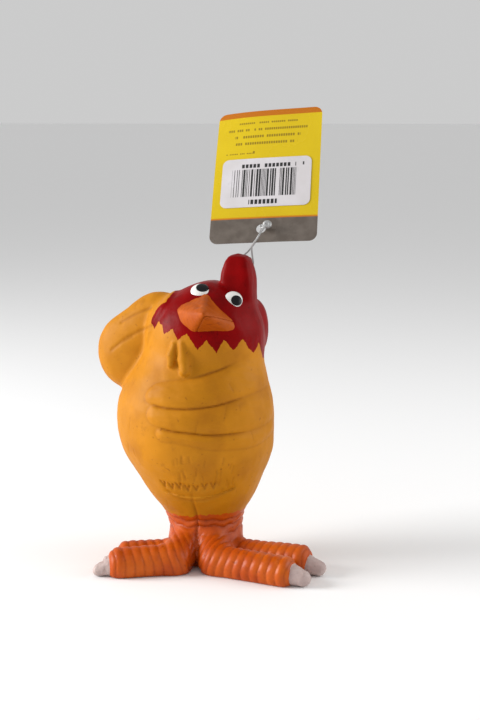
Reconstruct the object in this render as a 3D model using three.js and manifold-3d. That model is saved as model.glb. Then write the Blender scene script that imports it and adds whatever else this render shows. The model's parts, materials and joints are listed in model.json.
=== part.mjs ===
// Squeezable rubber chicken with a hang tag, millimetres, +Z up, facing -Y.
// The origin is on the sole, under the middle of the leg column.

import * as THREE from 'three';
import { mergeVertices } from 'three/addons/utils/BufferGeometryUtils.js';
import Module from 'manifold-3d';

const wasm = await Module();
wasm.setup();

// ---------- driving dimensions ----------

const GAP = 0.3;                 // clearance between neighbouring pieces
const WALL = 2.6;                // latex skin
const FAR = 200;                 // longer than anything, for cutting tools

// Torso: radius against height, flattened front to back, leaning to one side as it rises.
const TORSO_OUTLINE = [
  [19.2, 23.0], [22.0, 28.0], [29.2, 40.0], [34.3, 51.0], [35.6, 62.0],
  [34.8, 74.0], [31.6, 83.0], [27.8, 92.0], [26.2, 99.5]
];
const TORSO_LEAN = [[1.0, 20.0], [-2.0, 45.0], [-3.8, 66.0], [-2.8, 80.0], [1.5, 100.0]];
const TORSO_DEPTH = 0.9;         // depth over width
const NECK_Z = 99.5;

const HEAD_CENTRE = [2.0, -1.0, 103.0];
const HEAD_RADII = [26.0, 24.6, 24.5];
const HEAD_LOW_Z = NECK_Z + GAP;

// The part of the belly that goes in when it is squeezed.
const BELLY_CENTRE = [1.5, 70.0];
const BELLY_RADII = [23.0, 23.0];
const RELIEF = 2.6;              // how far a folded wing stands out of the skin

const LEG_CENTRE = [1.2, -1.5];
const LEG_OUTLINE = [[19.0, 0.0], [19.4, 4.0], [18.0, 9.0], [16.8, 14.0], [19.0, 23.0 - GAP]];
const LEG_DEPTH = 0.86;

const COMB_X = 15.8;
const COMB_RADII = [8.4, 8.3, 8.2, 8.0, 7.6, 7.0, 6.1, 4.9, 1.6];   // base to top
const FIN_X = 17.6;              // thin rear lobe of the comb, which the tag loop goes through
const FIN_WIDTH = 3.4;
const LOOP_PIVOT = [FIN_X, 10.5, 133.2];
const LOOP_HOLE_R = 1.3;

const CARD = { width: 48.5, height: 66.5, thick: 0.45, corner: 3.6 };
const CARD_HOLE = { x: 25.0, y: 6.7, z: 150.0, up: 6.6, r: 2.3 };
const CARD_LEAN = THREE.MathUtils.degToRad(-30);   // the card leans back
const CARD_ROLL = THREE.MathUtils.degToRad(-4);
const CARD_SHIFT = 0.9;          // the hole is this far left of the card's middle
const LABEL = { width: 41.0, height: 24.4, thick: 0.2, up: 17.3, corner: 3.0, gap: 0.12 };
const STRAND_R = 0.5;

// The squeaker's mouth is in the lower back, square to the skin there.
const NAPE = { centre: [21.2, 10.0, 107.0], radii: [8.2, 10.5, 15.5] };
const FIN_OUTLINE = [               // y, z
  [0, 118], [6, 132], [10.5, 137.2], [14.5, 134.5], [18.5, 129], [22, 121], [22, 112], [10, 108]
];

const WING_ARM = { centre: [-32, 1, 94.5], radii: [18.3, 9.5, 19.2] };
const WING_HAND = { centre: [-21.5, 4.5, 110.2], radii: [13.5, 8, 11.2] };
const WRIST_X = -26.5;
const SHOULDER = { y: -3, z: 75, radius: 15.5 };

const TAIL = { root: [-3.6, 21, 58], tip: [-3.6, 42, 75], radii: [9.0, 8.6, 7.6, 6.0, 3.6, 1.0] };
const WATTLES = {
  right: { top: [-6.6, -22.2, 98.4], low: [-5.8, -26.6, 90.4], radii: [0.4, 1.5, 2.4, 2.6, 1.8, 0.4] },
  left: { top: [-1.4, -24.6, 98.6], low: [-0.8, -28.2, 88.8], radii: [0.4, 1.5, 2.5, 2.7, 1.9, 0.4] }
};

const EYE_RADII = [4.3, 3.4, 3.9];
const PUPIL_RADII = [2.9, 2.0, 2.4];
const EYES = {
  right: { eye: [2.4, -13.2, 123.6], pupil: [3.9, -15.3, 124.6] },
  left: { eye: [17.2, -11.2, 119.8], pupil: [19.2, -12.6, 119.6] }
};

const SQUEAKER = { mouth: [-2.0, 28.2, 44.5], tilt: 20, length: 15.0, r: 7.0, wall: 1.2 };

// ---------- materials ----------

const paint = (name, color, roughness) => {
  const material = new THREE.MeshStandardMaterial({ color, roughness, metalness: 0 });
  material.name = name;
  return material;
};

const COLOURS = {
  yellow: ['yellow_paint', 0xd9962c, 0.5],
  red: ['red_paint', 0x8c0d12, 0.3],
  orange: ['orange_paint', 0xd4561b, 0.42],
  beak: ['beak_paint', 0xc8611d, 0.4],
  white: ['eye_white', 0xe9e4dc, 0.35],
  black: ['pupil_black', 0x101010, 0.3],
  claw: ['claw_paint', 0xc9b3ac, 0.5],
  squeaker: ['squeaker_plastic', 0xe8e6df, 0.45],
  card: ['tag_card', 0xf2dc2a, 0.4],
  label: ['label_paper', 0xf4f3ef, 0.6],
  nylon: ['clear_nylon', 0xdfe4e6, 0.2]
};

// ---------- solids ----------

function indexWithoutSlivers(index) {
  const kept = [];
  for (let i = 0; i < index.length; i += 3) {
    const [a, b, c] = [index[i], index[i + 1], index[i + 2]];
    if (a !== b && b !== c && c !== a) kept.push(a, b, c);
  }
  return new Uint32Array(kept);
}

function solid(geometry) {
  const bare = geometry.clone();
  bare.deleteAttribute('normal');
  bare.deleteAttribute('uv');
  const merged = mergeVertices(bare, 1e-4);
  return new wasm.Manifold(new wasm.Mesh({
    numProp: 3,
    vertProperties: new Float32Array(merged.attributes.position.array),
    triVerts: indexWithoutSlivers(merged.index.array)
  }));
}

function geometryOf(manifold) {
  const mesh = manifold.getMesh();
  const geometry = new THREE.BufferGeometry();
  geometry.setAttribute('position', new THREE.BufferAttribute(new Float32Array(mesh.vertProperties), 3));
  geometry.setIndex(new THREE.BufferAttribute(new Uint32Array(mesh.triVerts), 1));
  geometry.computeVertexNormals();
  return geometry;
}

function cut(body, ...tools) {
  return tools.reduce((rest, tool) => rest.subtract(tool), body);
}

function join(...bodies) {
  return bodies.reduce((whole, body) => whole.add(body));
}

function ellipsoid(centre, radii, segments = 20) {
  const geometry = new THREE.SphereGeometry(1, segments, segments / 2);
  geometry.rotateX(Math.PI / 2);
  geometry.scale(...radii);
  geometry.translate(...centre);
  return solid(geometry);
}

function block(low, high) {
  const size = high.map((value, i) => value - low[i]);
  const geometry = new THREE.BoxGeometry(...size);
  geometry.translate(...low.map((value, i) => value + size[i] / 2));
  return solid(geometry);
}

const above = z => block([-FAR, -FAR, z], [FAR, FAR, FAR]);
const below = z => block([-FAR, -FAR, -FAR], [FAR, FAR, z]);

// A turned solid standing on +Z, from [radius, height] points that close on the axis.
function turned(points, segments) {
  const geometry = new THREE.LatheGeometry(points.map(p => new THREE.Vector2(...p)), segments);
  geometry.rotateX(Math.PI / 2);
  return geometry;
}

// An outline in the XZ plane pushed through along Y.
function prismAlongY(shape, low, high, bevel = 0, curveSegments = 20) {
  const geometry = new THREE.ExtrudeGeometry(shape, {
    depth: high - low - 2 * bevel, curveSegments, bevelEnabled: bevel > 0,
    bevelThickness: bevel, bevelSize: bevel, bevelOffset: -bevel, bevelSegments: 4
  });
  geometry.rotateX(Math.PI / 2);
  geometry.translate(0, high - bevel, 0);
  return solid(geometry);
}

// An outline in the YZ plane pushed through along X.
function prismAlongX(shape, low, high, bevel = 0, curveSegments = 12) {
  const geometry = new THREE.ExtrudeGeometry(shape, {
    depth: high - low - 2 * bevel, curveSegments, bevelEnabled: bevel > 0,
    bevelThickness: bevel, bevelSize: bevel, bevelOffset: -bevel, bevelSegments: 4
  });
  geometry.rotateX(Math.PI / 2);
  geometry.rotateZ(Math.PI / 2);
  geometry.translate(low + bevel, 0, 0);
  return solid(geometry);
}

function ellipseShape(x, z, radiusX, radiusZ) {
  const shape = new THREE.Shape();
  shape.absellipse(x, z, radiusX, radiusZ, 0, 2 * Math.PI);
  return shape;
}

function splineShape(points) {
  const corners = points.map(p => new THREE.Vector3(...p, 0));
  const outline = new THREE.CatmullRomCurve3(corners, true, 'centripetal').getPoints(points.length * 4);
  outline.pop();
  return new THREE.Shape(outline.map(p => new THREE.Vector2(p.x, p.y)));
}

// A rod along a straight line between two points, its radius given along the way.
function spindle(from, to, radii, segments = 16) {
  const start = new THREE.Vector3(...from);
  const line = new THREE.Vector3(...to).sub(start);
  const length = line.length();
  const points = radii.map((radius, i) => [radius, length * i / (radii.length - 1)]);
  const geometry = turned([[0, 0], ...points, [0, length]], segments);
  geometry.applyQuaternion(new THREE.Quaternion().setFromUnitVectors(
    new THREE.Vector3(0, 0, 1), line.normalize()
  ));
  geometry.translate(...from);
  return solid(geometry);
}

// ---------- skin forms that neighbours are fitted to ----------

const leanCurve = new THREE.SplineCurve(TORSO_LEAN.map(p => new THREE.Vector2(...p)));
const leanTable = leanCurve.getPoints(60);

function leanAt(z) {
  const i = leanTable.findIndex(p => p.y > z);
  if (i === 0) return leanTable[0].x;
  if (i < 0) return leanTable[leanTable.length - 1].x;
  const [a, b] = [leanTable[i - 1], leanTable[i]];
  return a.x + (b.x - a.x) * (z - a.y) / (b.y - a.y);
}

function torsoForm(grow) {
  const curve = new THREE.SplineCurve(TORSO_OUTLINE.map(p => new THREE.Vector2(...p)));
  const side = curve.getPoints(13).map(p => [p.x + grow, p.y]);
  const bottom = TORSO_OUTLINE[0][1] - grow;
  const top = NECK_Z + Math.abs(grow);
  const radius = { low: side[0][0], high: side[side.length - 1][0] };
  const inside = side.filter(p => p[1] > bottom + 0.5 && p[1] < top - 0.5);
  const profile = [[0, bottom], [radius.low, bottom], ...inside, [radius.high, top], [0, top]];
  const geometry = turned(profile, 32);
  const place = geometry.attributes.position;
  for (let i = 0; i < place.count; i += 1) {
    place.setX(i, place.getX(i) + leanAt(place.getZ(i)));
    place.setY(i, place.getY(i) * TORSO_DEPTH);
  }
  return solid(geometry);
}

function headForm(grow) {
  return ellipsoid(HEAD_CENTRE, HEAD_RADII.map(r => r + grow), 28);
}

function legForm(grow) {
  const side = LEG_OUTLINE.map(p => [p[0] + grow, p[1]]);
  const top = LEG_OUTLINE[LEG_OUTLINE.length - 1][1];
  const geometry = turned([[0, 0], ...side, [0, top]], 28);
  geometry.scale(1, LEG_DEPTH, 1);
  geometry.translate(LEG_CENTRE[0], LEG_CENTRE[1], 0);
  return solid(geometry);
}

function bellyPrism(shrink) {
  const [radiusX, radiusZ] = BELLY_RADII.map(r => r - shrink);
  return prismAlongY(ellipseShape(...BELLY_CENTRE, radiusX, radiusZ), -60, -2, 0, 18);
}

const torsoAndGap = torsoForm(GAP);
const headAndGap = headForm(GAP);
const legAndGap = legForm(GAP);

// ---------- skin ----------

function skins() {
  const shell = cut(torsoForm(0), torsoForm(-WALL));
  const hole = solid(turned([[0, 0], [SQUEAKER.r + GAP, 0], [SQUEAKER.r + GAP, 30], [0, 30]], 28));
  const head = cut(headForm(0), headForm(-WALL), below(HEAD_LOW_Z));
  return {
    torso_skin: cut(shell, bellyPrism(0), inSqueaker(hole)),
    belly_panel: shell.intersect(bellyPrism(GAP)),
    head_skin: head
  };
}

// ---------- wings ----------

function foldedWing() {
  const relief = cut(torsoForm(RELIEF), torsoAndGap);
  const hand = new THREE.Shape();
  hand.moveTo(24, 60);
  hand.lineTo(-6, 59);
  hand.absarc(-9, 62.5, 3.8, -Math.PI * 0.45, -Math.PI * 1.5, true);
  hand.lineTo(-9, 66.6);
  hand.absarc(-13, 70.5, 3.7, -Math.PI * 0.5, -Math.PI * 1.5, true);
  hand.lineTo(-12, 74.4);
  hand.absarc(-15, 78.6, 4.0, -Math.PI * 0.5, -Math.PI * 1.5, true);
  hand.lineTo(-8, 86);
  hand.lineTo(24, 91);
  const palm = relief.intersect(prismAlongY(hand, -60, -2)).intersect(bellyPrism(2 * GAP));
  const { y, z, radius } = SHOULDER;
  const side = prismAlongX(ellipseShape(y, z, radius, radius), 10, 60, 0, 14);
  const arm = cut(relief.intersect(side), bellyPrism(-GAP));
  return { folded_wing_hand: palm, folded_wing_arm: arm };
}

function raisedWing() {
  const upperArm = ellipsoid(WING_ARM.centre, WING_ARM.radii);
  const hand = ellipsoid(WING_HAND.centre, WING_HAND.radii);
  const pad = cut(join(upperArm, hand), torsoAndGap, headAndGap);
  const outer = block([-FAR, -FAR, -FAR], [WRIST_X, FAR, FAR]);
  const inner = block([WRIST_X + GAP, -FAR, NECK_Z], [FAR, FAR, FAR]);
  return {
    raised_wing: pad.intersect(outer),
    raised_wing_hand: pad.intersect(inner)
  };
}

// ---------- head details ----------

function combAndNape() {
  const rear = splineShape(FIN_OUTLINE);
  const lobe = spindle([COMB_X, 1.5, 113.4], [COMB_X, 1.5, 138.4], COMB_RADII, 20);
  const fin = prismAlongX(rear, FIN_X - FIN_WIDTH / 2, FIN_X + FIN_WIDTH / 2, 1.0);
  const [x, y, z] = LOOP_PIVOT;
  const tunnel = spindle([x - 9, y, z], [x + 9, y, z], [LOOP_HOLE_R, LOOP_HOLE_R], 16);
  const nape = ellipsoid(NAPE.centre, NAPE.radii);
  return {
    comb: cut(join(lobe, fin), headAndGap, tunnel),
    nape_lobe: cut(nape, headAndGap, torsoAndGap, lobe, fin)
  };
}

function beak() {
  const left = new THREE.Vector3(-4.2, -22, 116.4);
  const right = new THREE.Vector3(19.0, -18.5, 112.4);
  const tip = new THREE.Vector3(9.6, -34.6, 117.2);
  const top = new THREE.Vector3(6.6, -16, 123.2);
  const bottom = new THREE.Vector3(8.5, -23.5, 107.8);
  const back = new THREE.Vector3(7.5, -12, 114);
  const pyramid = corners => {
    const points = [tip, ...corners, back];
    const faces = [0, 1, 2, 0, 2, 3, 0, 3, 1, 4, 2, 1, 4, 3, 2, 4, 1, 3];
    return solid(polyhedron(points, faces));
  };
  const drop = new THREE.Vector3(0.2, 0.15, -GAP);
  const lower = pyramid([right, left, bottom]).translate(...drop.toArray());
  return {
    upper_beak: cut(pyramid([left, right, top]), headAndGap),
    lower_beak: cut(lower, headAndGap)
  };
}

function polyhedron(points, faces) {
  const geometry = new THREE.BufferGeometry();
  geometry.setAttribute('position', new THREE.Float32BufferAttribute(points.flatMap(p => p.toArray()), 3));
  geometry.setIndex(faces);
  return geometry;
}

// An eye is a domed disc on the skin, with a smaller dome on it for the pupil.
function eyes() {
  const pieces = {};
  for (const [side, centre] of Object.entries(EYES)) {
    const pupil = ellipsoid(centre.pupil, PUPIL_RADII, 12);
    const socket = ellipsoid(centre.pupil, PUPIL_RADII.map(r => r + GAP), 12);
    const white = ellipsoid(centre.eye, EYE_RADII, 14);
    pieces[`${side}_eye`] = cut(white, headAndGap, socket);
    pieces[`${side}_pupil`] = cut(pupil, headAndGap);
  }
  return pieces;
}

function wattles(beakPieces) {
  const around = [torsoAndGap, headAndGap, ...Object.values(beakPieces)];
  const pieces = {};
  for (const [side, { top, low, radii }] of Object.entries(WATTLES)) {
    pieces[`${side}_wattle`] = cut(spindle(top, low, radii, 12), ...around);
  }
  return pieces;
}

// ---------- legs ----------

const TOES = {
  right_front: { ankle: [-6, -22, 6.4], tip: [-31.0, -38.8, 5.6], r: 7.3, claw: [-34.8, -41.6, 4.4] },
  right_rear: { ankle: [-8, -12, 6.8], tip: [-33.5, -24.8, 5.6], r: 6.6, claw: [-38.0, -27.0, 4.2] },
  left_front: { ankle: [12, -18, 6.4], tip: [49.0, -29.8, 5.4], r: 7.3, claw: [53.8, -31.0, 4.8] },
  left_rear: { ankle: [12, -4, 7.8], tip: [52.0, -15.2, 6.6], r: 7.0, claw: [56.2, -16.6, 4.8] }
};
const TOE_TAPER = [1, 1.04, 1, 0.96, 0.74];
const CLAW_RADII = [5.4, 4.6];   // across; the height is the claw's own

function toesAndClaws() {
  const ground = above(0);
  const pieces = {};
  const taken = [];
  for (const [name, toe] of Object.entries(TOES)) {
    const clawAt = grow => ellipsoid(
      toe.claw, [...CLAW_RADII, toe.claw[2]].map(r => r + grow), 14
    );
    const toeAt = grow => spindle(toe.ankle, toe.tip, TOE_TAPER.map(k => toe.r * k + grow), 16);
    pieces[`${name}_toe`] = cut(toeAt(0).intersect(ground), legAndGap, torsoAndGap, clawAt(GAP), ...taken);
    pieces[`${name}_claw`] = cut(clawAt(0).intersect(ground), ...taken);
    taken.push(toeAt(GAP), clawAt(GAP));
  }
  return pieces;
}

function tail() {
  return cut(spindle(TAIL.root, TAIL.tip, TAIL.radii, 20), torsoAndGap);
}

// ---------- squeaker, lying along its own axis with its mouth in the back ----------

// The squeaker's own frame: Z runs outward from the cup's inner end.
function inSqueaker(manifold) {
  const { mouth, tilt, length } = SQUEAKER;
  return manifold.translate(0, 0, -length).rotate([-90 - tilt, 0, 0]).translate(...mouth);
}

function squeaker() {
  const { length, r, wall } = SQUEAKER;
  const bore = r - wall;
  const plug = bore - GAP;
  const capThick = 1.5;
  const cupEnd = length - capThick - GAP;
  const cup = turned([
    [bore, 0], [r + 1.6, 0], [r + 1.6, 1.2], [r, 1.2], [r, cupEnd], [bore, cupEnd], [bore, 0]
  ], 28);
  const cap = turned([
    [1.6, cupEnd - 2.2], [plug, cupEnd - 2.2], [plug, length - capThick],
    [r, length - capThick], [r, length], [1.6, length], [1.6, cupEnd - 2.2]
  ], 28);
  const seat = solid(turned([[0, 0.4], [plug, 0.4], [plug, 8.6], [0, 8.6]], 24));
  const slot = block([-1.9, -GAP, -1], [1.9, 2.4, 12]);
  const vent = block([-1.1, -2.6, -1], [1.1, 1, 7.4]);
  const reed = block([-1.5, 0, 1.2], [1.5, 0.4, 8.2]);
  return {
    squeaker_cup: inSqueaker(solid(cup)),
    squeaker_cap: inSqueaker(solid(cap)),
    reed_seat: inSqueaker(cut(seat, slot, vent)),
    squeaker_reed: inSqueaker(reed)
  };
}

// ---------- hang tag ----------

// The card's own frame: X across, Z up the card from the hole, -Y its printed face.
function onCard(manifold) {
  const turn = new THREE.Matrix4().makeTranslation(CARD_HOLE.x, CARD_HOLE.y, CARD_HOLE.z);
  turn.multiply(new THREE.Matrix4().makeRotationX(CARD_LEAN));
  turn.multiply(new THREE.Matrix4().makeRotationY(CARD_ROLL));
  return manifold.transform(turn.elements);
}

function roundedRectangle(centreX, lowZ, width, height, radius) {
  const [left, right] = [centreX - width / 2, centreX + width / 2];
  const highZ = lowZ + height;
  const shape = new THREE.Shape();
  shape.moveTo(left + radius, lowZ);
  shape.absarc(right - radius, lowZ + radius, radius, -Math.PI / 2, 0, false);
  shape.absarc(right - radius, highZ - radius, radius, 0, Math.PI / 2, false);
  shape.absarc(left + radius, highZ - radius, radius, Math.PI / 2, Math.PI, false);
  shape.absarc(left + radius, lowZ + radius, radius, Math.PI, Math.PI * 1.5, false);
  return shape;
}

function hangTag() {
  const { width, height, thick, corner } = CARD;
  const outline = roundedRectangle(CARD_SHIFT, -CARD_HOLE.up, width, height, corner);
  const hole = prismAlongY(ellipseShape(0, 0, CARD_HOLE.r, CARD_HOLE.r), -5, 5, 0, 20);
  const card = prismAlongY(outline, -thick / 2, thick / 2, 0, 6).subtract(hole);
  const front = -thick / 2 - LABEL.gap;
  const label = prismAlongY(
    roundedRectangle(CARD_SHIFT, LABEL.up - CARD_HOLE.up, LABEL.width, LABEL.height, LABEL.corner),
    front - LABEL.thick, front, 0, 4
  );
  return { hang_tag: onCard(card), barcode_label: onCard(label) };
}

// The nylon strand leaves its lock, goes through the card, down through the comb and back.
function tagLoop() {
  const [x, y, z] = LOOP_PIVOT;
  const lock = [28.4, 3.6, 152.0];
  const route = [
    lock, [26.8, 4.3, 151.2], [25.2, 6.4, 150.1], [24.2, 8.9, 148.6], [22.0, 10.4, 144.5],
    [18.2, 10.6, 139.6], [x - 2.9, y + 0.3, z + 3.2], [x - 2.9, y, z + 0.9], [x - 1.8, y, z],
    [x + 1.8, y, z], [x + 2.9, y - 0.2, z + 0.9], [x + 4.0, y - 3.2, z + 4.6],
    [22.9, 3.6, 141.8], [24.6, 0.6, 146.0], [26.8, 1.4, 149.8], lock
  ];
  const path = new THREE.CatmullRomCurve3(route.map(p => new THREE.Vector3(...p)), false, 'centripetal');
  const section = new THREE.Shape();
  section.absarc(0, 0, STRAND_R, 0, 2 * Math.PI);
  const strand = new THREE.ExtrudeGeometry(section, {
    steps: 46, curveSegments: 4, bevelEnabled: false, extrudePath: path
  });
  return { tag_loop: join(solid(strand), ellipsoid(lock, [1.9, 1.5, 2.2], 16)) };
}

// ---------- assembly ----------

const { head_skin: headSkin, ...torsoSkins } = skins();
const { hang_tag: card, barcode_label: label } = hangTag();
const beakPieces = beak();
const families = [
  ['yellow', { ...torsoSkins, ...foldedWing(), ...raisedWing() }],
  ['red', { head_skin: headSkin, ...combAndNape() }],
  ['beak', beakPieces],
  ['yellow', wattles(beakPieces)],
  ['orange', { leg_column: legForm(0) }],
  ['yellow', { tail: tail() }],
  ['squeaker', squeaker()],
  ['card', { hang_tag: card }],
  ['label', { barcode_label: label }],
  ['nylon', tagLoop()]
];

const group = new THREE.Group();

function place(name, colour, body) {
  const mesh = new THREE.Mesh(geometryOf(body), paint(...COLOURS[colour]));
  mesh.name = name;
  group.add(mesh);
}

for (const [colour, pieces] of families) {
  for (const [name, body] of Object.entries(pieces)) place(name, colour, body);
}
for (const [name, body] of Object.entries(eyes())) {
  place(name, name.endsWith('pupil') ? 'black' : 'white', body);
}
for (const [name, body] of Object.entries(toesAndClaws())) {
  place(name, name.endsWith('claw') ? 'claw' : 'orange', body);
}

export default group;
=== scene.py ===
import json
import math
import bpy
import numpy as np
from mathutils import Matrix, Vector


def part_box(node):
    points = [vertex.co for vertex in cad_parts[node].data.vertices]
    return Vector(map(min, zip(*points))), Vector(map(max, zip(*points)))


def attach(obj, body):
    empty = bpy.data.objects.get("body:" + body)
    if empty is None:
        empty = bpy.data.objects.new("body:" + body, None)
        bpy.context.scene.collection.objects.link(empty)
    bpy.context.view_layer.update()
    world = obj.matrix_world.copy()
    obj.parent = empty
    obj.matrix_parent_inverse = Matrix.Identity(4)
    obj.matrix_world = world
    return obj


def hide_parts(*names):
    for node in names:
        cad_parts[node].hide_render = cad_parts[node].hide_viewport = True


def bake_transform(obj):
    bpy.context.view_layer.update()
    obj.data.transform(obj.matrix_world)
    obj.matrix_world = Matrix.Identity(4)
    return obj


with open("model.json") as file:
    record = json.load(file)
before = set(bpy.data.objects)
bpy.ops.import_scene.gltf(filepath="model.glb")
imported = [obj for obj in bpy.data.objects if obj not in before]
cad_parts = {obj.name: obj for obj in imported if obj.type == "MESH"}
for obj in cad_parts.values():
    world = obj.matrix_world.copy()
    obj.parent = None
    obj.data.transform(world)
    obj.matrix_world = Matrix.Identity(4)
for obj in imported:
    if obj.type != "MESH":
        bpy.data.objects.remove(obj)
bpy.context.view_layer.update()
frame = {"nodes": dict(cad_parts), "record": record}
import openvdb as vdb
from mathutils import Matrix, Vector
from mathutils.geometry import delaunay_2d_cdt

MM = 0.001


def box_mm(node):
    low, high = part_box(node)
    low, high = np.array(low) / MM, np.array(high) / MM
    return low, high, (low + high) / 2, (high - low) / 2


# ---------- small field toolbox: signed distances in millimetres, negative inside ----------

def curve_through(points, samples=240):
    """A smooth function through a table of (x, y) points."""
    x, y = np.array(points, float).T
    slope = np.gradient(y, x)
    at = np.linspace(x[0], x[-1], samples)
    i = np.clip(np.searchsorted(x, at) - 1, 0, len(x) - 2)
    w = x[i + 1] - x[i]
    t = (at - x[i]) / w
    v = ((1 + 2 * t) * (1 - t) ** 2 * y[i] + t * (1 - t) ** 2 * w * slope[i]
         + t * t * (3 - 2 * t) * y[i + 1] + t * t * (t - 1) * w * slope[i + 1])
    return lambda q: np.interp(q, at, v)


def ramp(x, low, high):
    t = np.clip((x - low) / (high - low), 0, 1)
    return t * t * (3 - 2 * t)


def melt(a, b, k):
    """Union with a fillet of about k."""
    h = np.clip(0.5 + 0.5 * (b - a) / k, 0, 1)
    return b + (a - b) * h - k * h * (1 - h)


def both(a, b, k):
    """Intersection with a rounded edge of about k."""
    return -melt(-a, -b, k)


def ellipsoid(p, centre, radii):
    q = (p - np.array(centre)) / np.array(radii)
    far = np.linalg.norm(q, axis=1)
    steep = np.linalg.norm(q / np.array(radii), axis=1)
    return far * (far - 1) / np.maximum(steep, 1e-9)


def rod(p, start, end, radius_start, radius_end):
    start, end = np.array(start, float), np.array(end, float)
    line = end - start
    t = np.clip((p - start) @ line / (line @ line), 0, 1)
    spread = np.linalg.norm(p - start - t[:, None] * line, axis=1)
    return spread - radius_start - (radius_end - radius_start) * t


def polyline(u, v, points):
    """Distance in the (u, v) plane to a chain of straight pieces."""
    best = np.full(len(u), 1e9)
    for (au, av), (bu, bv) in zip(points[:-1], points[1:]):
        lu, lv = bu - au, bv - av
        t = np.clip(((u - au) * lu + (v - av) * lv) / (lu * lu + lv * lv), 0, 1)
        best = np.minimum(best, np.hypot(u - au - t * lu, v - av - t * lv))
    return best


def outline_field(u, v, points):
    """Signed distance in the (u, v) plane to a closed outline."""
    inside = np.zeros(len(u), bool)
    for (au, av), (bu, bv) in zip(points, points[1:] + points[:1]):
        crosses = (av > v) != (bv > v)
        at = au + (v - av) * (bu - au) / (bv - av if bv != av else 1e-9)
        inside ^= crosses & (u < at)
    far = polyline(u, v, points + points[:1])
    return np.where(inside, -far, far)


def between(a, b, c, d, t):
    """Catmull-Rom: the point a share t of the way from b to c."""
    return 0.5 * (2 * b + (c - a) * t + (2 * a - 5 * b + 4 * c - d) * t ** 2
                  + (3 * b - a - 3 * c + d) * t ** 3)


def smooth_loop(points, steps=6):
    """A closed Catmull-Rom curve through the points."""
    out = []
    n = len(points)
    p = np.array(points, float)
    for i in range(n):
        a, b, c, d = p[i - 1], p[i], p[(i + 1) % n], p[(i + 2) % n]
        for t in np.arange(steps) / steps:
            out.append(tuple(between(a, b, c, d, t)))
    return out


def wave(p, size, seed):
    """Smooth three-dimensional ripple of about the given size, from -1 to 1."""
    rng = np.random.default_rng(seed)
    total = np.zeros(len(p))
    for _ in range(7):
        way = rng.normal(size=3)
        way *= 2 * math.pi / size / np.linalg.norm(way) * rng.uniform(0.7, 1.5)
        total += np.sin(p @ way + rng.uniform(0, 6.28))
    return total / 3.2


# ---------- meshing ----------

def subdivide(points, quads):
    edges = np.sort(np.concatenate([quads[:, [i, (i + 1) % 4]] for i in range(4)]), axis=1)
    edges, index = np.unique(edges, axis=0, return_inverse=True)
    n = len(quads)
    mid = index.reshape(4, n).T + len(points)
    middle = np.arange(n) + len(points) + len(edges)
    fresh = np.concatenate([points, points[edges].mean(axis=1), points[quads].mean(axis=1)])
    faces = [np.stack([quads[:, i], mid[:, i], middle, mid[:, i - 1]], axis=1) for i in range(4)]
    return fresh, np.concatenate(faces)


def gradient(field, p, h=0.05):
    here = field(p)
    slope = np.stack([field(p + h * axis) - here for axis in np.eye(3)], axis=1) / h
    return here, slope


def settle(field, points, rounds=2):
    """Moves points onto the zero surface of the field and returns them with their normals."""
    for _ in range(rounds):
        d, slope = gradient(field, points)
        step = np.clip(d / np.maximum((slope ** 2).sum(axis=1), 0.05), -0.8, 0.8)
        points = points - step[:, None] * slope
    _, slope = gradient(field, points)
    return points, slope / np.maximum(np.linalg.norm(slope, axis=1), 1e-9)[:, None]


def relax(points, quads):
    """One step of smoothing along the surface."""
    total = np.zeros_like(points)
    count = np.zeros(len(points))
    for i in range(4):
        for j in (1, 3):
            np.add.at(total, quads[:, i], points[quads[:, (i + j) % 4]])
            np.add.at(count, quads[:, i], 1)
    return 0.4 * points + 0.6 * total / count[:, None]


def skin_mesh(field, low, high, step, relief=None):
    """Closed mesh of the field's zero surface at half the step, raised by relief(points, normals)."""
    axes = [np.arange(a, b + step, step) for a, b in zip(low, high)]
    shape = [len(a) for a in axes]
    grid = np.stack(np.meshgrid(*axes, indexing="ij"), axis=-1).reshape(-1, 3)
    values = np.concatenate([field(part) for part in np.array_split(grid, 12)])
    volume = vdb.FloatGrid(9.0)
    volume.copyFromArray(values.reshape(shape).astype(np.float32))
    points, quads = volume.convertToQuads()
    points = np.asarray(points, float) * step + np.array(low)
    quads = np.asarray(quads, int)
    points = relax(points, quads)
    points, _ = settle(field, points)
    points, quads = subdivide(points, quads)
    points, normals = settle(field, points)
    if relief is not None:
        points = points + normals * relief(points, normals)[:, None]
    return points, quads


def new_object(name, points, faces):
    mesh = bpy.data.meshes.new(name)
    if isinstance(faces, np.ndarray):
        faces = faces.tolist()
    mesh.from_pydata((np.asarray(points) * MM).tolist(), [], faces)
    mesh.update()
    obj = bpy.data.objects.new(name, mesh)
    bpy.context.scene.collection.objects.link(obj)
    return obj


def smooth(obj, angle=35):
    obj.data.polygons.foreach_set("use_smooth", [True] * len(obj.data.polygons))
    obj.data.set_sharp_from_angle(angle=math.radians(angle))


def boolean(obj, tool, operation, name=None):
    """A new object: obj cut, joined or crossed with the tool. obj and tool stay."""
    mod = obj.modifiers.new("cut", "BOOLEAN")
    mod.operation = operation
    mod.solver = "MANIFOLD"
    mod.object = tool
    bpy.context.view_layer.update()
    mesh = bpy.data.meshes.new_from_object(obj.evaluated_get(bpy.context.evaluated_depsgraph_get()))
    obj.modifiers.remove(mod)
    out = bpy.data.objects.new(name or obj.name + "_cut", mesh)
    bpy.context.scene.collection.objects.link(out)
    return out


def drop(*objs):
    for obj in objs:
        bpy.data.objects.remove(obj)


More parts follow.
